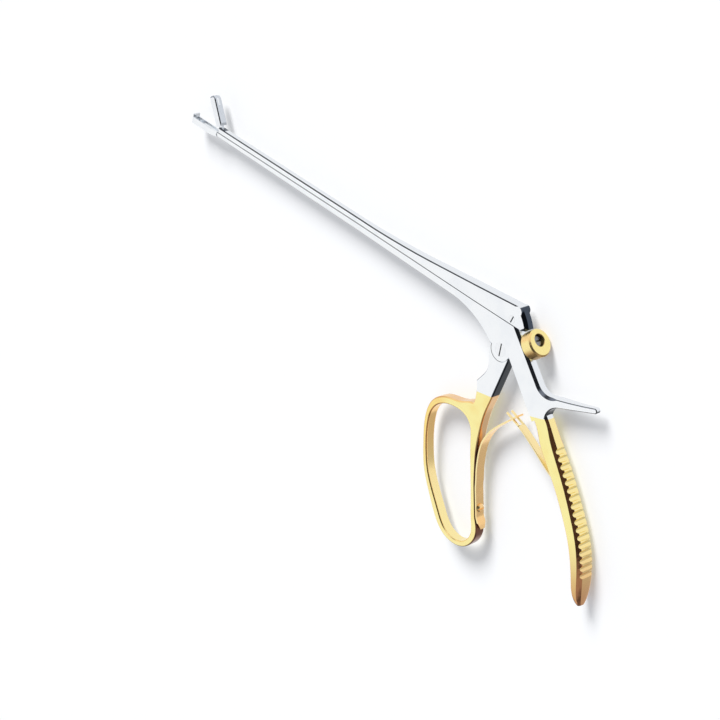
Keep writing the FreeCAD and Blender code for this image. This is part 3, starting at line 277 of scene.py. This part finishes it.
# Painted shade and dark reflection: below the spur, on the lever's rear, behind the front leaf, on the slide's
# rear end and in its fork, and below the collar
spurShade = {"towards": (0.50, -0.86), "between": (0.30, 0.45), "below": [((24.0, 0.0), 90, 1.0)],
             "tone": (0.018, 0.022, 0.03)}
leverRearShade = {"towards": (0.98, -0.18), "between": (0.4, 0.75), "tone": (0.022, 0.028, 0.038)}
leafShade = {"towards": (1.0, 0.0), "between": (0.3, 0.7), "tone": (0.20, 0.09, 0.06),
             "below": [((-3.0, 0.0), 90, 1.0), ((0.0, -50.0), 0, 14.0)]}
slideRearShade = {"towards": (1.0, 0.0), "between": (0.2, 0.42), "tone": (0.06, 0.075, 0.10)}
slideTipShade = {"towards": (0.0, 1.0), "between": (0.5, 0.9), "below": [((-205.0, 0.0), -90, 1.0)],
            "tone": (0.12, 0.13, 0.15)}
collarShade = {"towards": (0.707, -0.707), "between": (0.1, 0.55), "tone": (0.46, 0.29, 0.11)}

springPolish = {"roughness": 0.22, "scale": 300, "stretch": 1, "grain": 0.02}
materials = {
    "frame": metal("frameMetal", steelLook, roughness=0.17, plating=frameLine, plated=gripGold,
                   beyond=gripBeyond, shades=[spurShade]),
    "front_handle": metal("leverMetal", steelLook, roughness=0.17, plating=leverLine, plated=loopGold,
                          beyond=loopBeyond, shades=[leverRearShade], goldShades=[leafShade]),
    "slide_bar": metal("slideSteel", steelLook, roughness=0.15, shades=[slideRearShade, slideTipShade]),
    "upper_jaw": metal("jawSteel", jawLook, roughness=0.2, turn=57),
    "guide_key_front": metal("keySteel", steelLook, roughness=0.3),
    "jaw_pivot_pin": metal("pinSteel", steelLook, roughness=0.25),
    "pivot_screw": metal("screwSteel", screwLook, roughness=0.2),
    "stop_collar": metal("collarGold", collarLook, roughness=0.3, turn=45, shades=[collarShade]),
    "collar_screw": metal("boreSteel", boreShadeSteel, roughness=0.3),
    "front_leaf_spring": metal("springGoldShadedWalls", springGoldShadedWalls, **springPolish),
    "rear_leaf_spring": metal("rearSpringGoldLitWalls", rearSpringGoldLitWalls, **springPolish),
    "front_spring_screw": metal("springScrewGold", springGoldShadedWalls, roughness=0.22),
}
# Nodes that take another node's material
shared = {"guide_key_rear": "guide_key_front", "jaw_link_pin": "jaw_pivot_pin", "drive_screw": "pivot_screw",
          "rear_spring_screw": "front_spring_screw"}
for name, node in nodes.items():
    material = materials[shared.get(name, name)]
    node.data.materials.clear()
    node.data.materials.append(material)
print("materials assigned")


# Rear leaf spring: a strip swept along its path, with a forked tip. Millimetres
leafLook = {"path": [(52.8, -50.2), (45.0, -42.2), (42.4, -40.9), (40.0, -39.75), (35.0, -37.0), (30.0, -34.15),
                     (25.0, -31.5), (20.4, -29.4), (16.2, -28.0), (11.3, -26.5)],
            "lift": 0.42, "thickness": 0.8, "width": 4.2, "middle": 2.9, "fork": 2.1, "forkLength": 8.4,
            "prongOverlap": 0.6, "corner": 0.14, "steps": 12, "still": (45.0, -42.2), "free": (19.5, -29.0)}


# Cubic through the points: p(t) on each span from its two ends and their slopes, and each slope is half the
# chord between the point's neighbours
def smoothPath(points, steps):
    points = np.asarray(points, float)
    before = np.vstack([2 * points[0] - points[1], points[:-2]])
    after = np.vstack([points[2:], 2 * points[-1] - points[-2]])
    t = (np.arange(steps) / steps)[None, :, None]
    a, b = points[:-1, None], points[1:, None]
    slopeA = (points[1:] - before)[:, None] / 2
    slopeB = (after - points[:-1])[:, None] / 2
    curve = ((2 * t ** 3 - 3 * t ** 2 + 1) * a + (t ** 3 - 2 * t ** 2 + t) * slopeA
             + (3 * t ** 2 - 2 * t ** 3) * b + (t ** 3 - t ** 2) * slopeB)
    return np.vstack([curve.reshape(-1, 2), points[-1]])


# Unit vectors to the left of the way along a path: left = (-way.y, way.x)
def leftOf(path):
    way = np.gradient(path, axis=0)
    way /= np.linalg.norm(way, axis=1)[:, None]
    return np.column_stack([-way[:, 1], way[:, 0]])


# Rectangle with cut corners, as (across the strip's thickness, along z) pairs
def stripSection(thickness, low, high, corner):
    half = thickness / 2
    flat, bottom, top = half - corner, low + corner, high - corner
    return np.array([(-half, bottom), (-flat, low), (flat, low), (half, bottom),
                     (half, top), (flat, high), (-flat, high), (-half, top)])


# point(i, j) = path(i) + left(i) * section(j).across + z * section(j).height, with a flat cap at either end
def sweptStrip(path, section):
    flat = path[:, None] + leftOf(path)[:, None] * section[None, :, :1]
    height = np.broadcast_to(section[None, :, 1:], (len(path), len(section), 1))
    verts = np.concatenate([flat, height], axis=2).reshape(-1, 3)
    rows, count = len(path), len(section)
    i, j = np.meshgrid(np.arange(rows - 1), np.arange(count), indexing="ij")
    k = (j + 1) % count
    faces = np.stack([i * count + j, i * count + k, (i + 1) * count + k, (i + 1) * count + j], axis=-1)
    last = (rows - 1) * count
    caps = [list(range(count - 1, -1, -1)), list(range(last, last + count))]
    return verts, faces.reshape(-1, 4).tolist() + caps


# One strip from the root to the fork and two narrow ones on to the tip
def makeRearLeaf():
    line = smoothPath(leafLook["path"], leafLook["steps"])
    line = line + leftOf(line) * leafLook["lift"]
    toTip = np.linalg.norm(line - line[-1], axis=1)
    root = line[toTip > leafLook["forkLength"]]
    prong = line[toTip <= leafLook["forkLength"] + leafLook["prongOverlap"]]
    outer, inner = leafLook["width"] / 2, leafLook["fork"] / 2
    middle, thickness, corner = leafLook["middle"], leafLook["thickness"], leafLook["corner"]
    strips = [(root, middle - outer, middle + outer), (prong, middle - outer, middle - inner),
              (prong, middle + inner, middle + outer)]
    verts, faces = [], []
    for path, low, high in strips:
        part, partFaces = sweptStrip(path, stripSection(thickness, low, high, corner))
        start = sum(len(block) for block in verts)
        verts.append(part)
        faces += [[start + index for index in face] for face in partFaces]
    mesh = bpy.data.meshes.new("rearLeafSpring")
    mesh.from_pydata((np.vstack(verts) * millimetre).tolist(), [], faces)
    mesh.update()
    cleanUp = bmesh.new()
    cleanUp.from_mesh(mesh)
    bmesh.ops.recalc_face_normals(cleanUp, faces=cleanUp.faces)
    cleanUp.to_mesh(mesh)
    cleanUp.free()
    piece = bpy.data.objects.new("rearLeafSpring", mesh)
    bpy.context.collection.objects.link(piece)
    mesh.materials.append(materials["rear_leaf_spring"])
    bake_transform(piece)
    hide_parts("rear_leaf_spring")


makeRearLeaf()
print("rear leaf spring made")


# Floor: pale and matt; to the camera and in reflections it is white where nothing shades it
stageLook = {"floorDrop": 3.6 * millimetre, "floorSize": 6.0, "floorTone": 0.80, "floorRoughness": 0.9,
             "floorLift": 0.13}


def makeFloor():
    half = stageLook["floorSize"] / 2
    mesh = bpy.data.meshes.new("floor")
    corners = np.array([[-half, -half], [half, -half], [half, half], [-half, half]])
    verts = np.column_stack([corners, np.full(4, -stageLook["floorDrop"])])
    mesh.from_pydata(verts.tolist(), [], [(0, 1, 2, 3)])
    floor = bpy.data.objects.new("floor", mesh)
    bpy.context.collection.objects.link(floor)
    material, tree, shader = newMaterial("paleFloor")
    tone = stageLook["floorTone"]
    shader.inputs["Base Color"].default_value = (tone, tone, tone, 1)
    shader.inputs["Roughness"].default_value = stageLook["floorRoughness"]
    shader.inputs["Specular IOR Level"].default_value = 0.0
    shader.inputs["Emission Color"].default_value = (1, 1, 1, 1)
    path = addNode(tree, "ShaderNodeLightPath")
    seen = maths(tree, "MAXIMUM", path.outputs["Is Camera Ray"], path.outputs["Is Glossy Ray"])
    seen = maths(tree, "MAXIMUM", seen, path.outputs["Is Transmission Ray"])
    tree.links.new(maths(tree, "MULTIPLY", seen, stageLook["floorLift"]), shader.inputs["Emission Strength"])
    mesh.materials.append(material)
    floor.visible_glossy = False  # the polished metal mirrors the room below instead


# The room as polished metal sees it: white cards all round, with dark openings between them.
# Each opening: its turn from +X and its height above the floor, the angles from its middle where it begins to
# fade and where it ends, and its light
roomLook = {"ambient": 0.56, "skyTone": (0.95, 0.98, 1.04),
            "openings": [(30, 42, 26, 44, 0.06), (-28, 34, 24, 38, 0.45), (-48, 6, 16, 28, 0.3),
                         (-80, 6, 14, 24, 0.25), (-110, -12, 12, 22, 0.08), (-30, -42, 18, 30, 0.62),
                         (130, 29, 9, 16, 0.15)]}


# Unit vector from a turn round +Z and a height above the floor, in degrees
def direction(turn, height):
    turn, height = math.radians(turn), math.radians(height)
    return math.cos(height) * math.cos(turn), math.cos(height) * math.sin(turn), math.sin(height)


# To mirrors the world is the picture of the room, to the camera it is white, and it lights the rest evenly
def makeWorld():
    world = bpy.data.worlds.new("studio")
    bpy.context.scene.world = world
    world.use_nodes = True
    tree = world.node_tree
    background = tree.nodes["Background"]
    place = addNode(tree, "ShaderNodeTexCoord")
    picture = None
    for turn, height, edge, fade, level in roomLook["openings"]:
        dot = addNode(tree, "ShaderNodeVectorMath", operation="DOT_PRODUCT")
        dot.inputs[1].default_value = direction(turn, height)
        tree.links.new(place.outputs["Generated"], dot.inputs[0])
        ends, fades = math.cos(math.radians(fade)), math.cos(math.radians(edge))
        outside = mapped(tree, dot.outputs["Value"], 1, level, ends, fades)
        picture = outside if picture is None else maths(tree, "MULTIPLY", picture, outside)
    path = addNode(tree, "ShaderNodeLightPath")
    glossy = maths(tree, "MULTIPLY", path.outputs["Is Glossy Ray"], picture)
    seen = maths(tree, "MAXIMUM", path.outputs["Is Camera Ray"], path.outputs["Is Transmission Ray"])
    direct = maths(tree, "MAXIMUM", seen, path.outputs["Is Glossy Ray"])
    rest = maths(tree, "MULTIPLY", maths(tree, "SUBTRACT", 1.0, direct), roomLook["ambient"])
    total = maths(tree, "ADD", maths(tree, "ADD", glossy, seen), rest)
    tree.links.new(mixColour(tree, direct, roomLook["skyTone"], (1.0, 1.0, 1.0)), background.inputs["Color"])
    tree.links.new(total, background.inputs["Strength"])


# One soft lamp, whose shadow falls to the picture's lower right. Its light is what it adds to a white floor
lampLook = {"turn": 112, "height": 32, "spread": 25, "light": 0.56}


def makeLamp():
    away = Vector(direction(lampLook["turn"], lampLook["height"]))
    data = bpy.data.lights.new("keyLamp", "SUN")
    data.angle = math.radians(lampLook["spread"])
    data.energy = lampLook["light"] * math.pi / away.z
    lamp = bpy.data.objects.new("keyLamp", data)
    lamp.rotation_euler = away.to_track_quat("Z", "Y").to_euler()
    lamp.visible_glossy = False
    bpy.context.collection.objects.link(lamp)


makeFloor()
makeWorld()
makeLamp()
bpy.context.scene.view_settings.view_transform = "Standard"
print("stage lit")
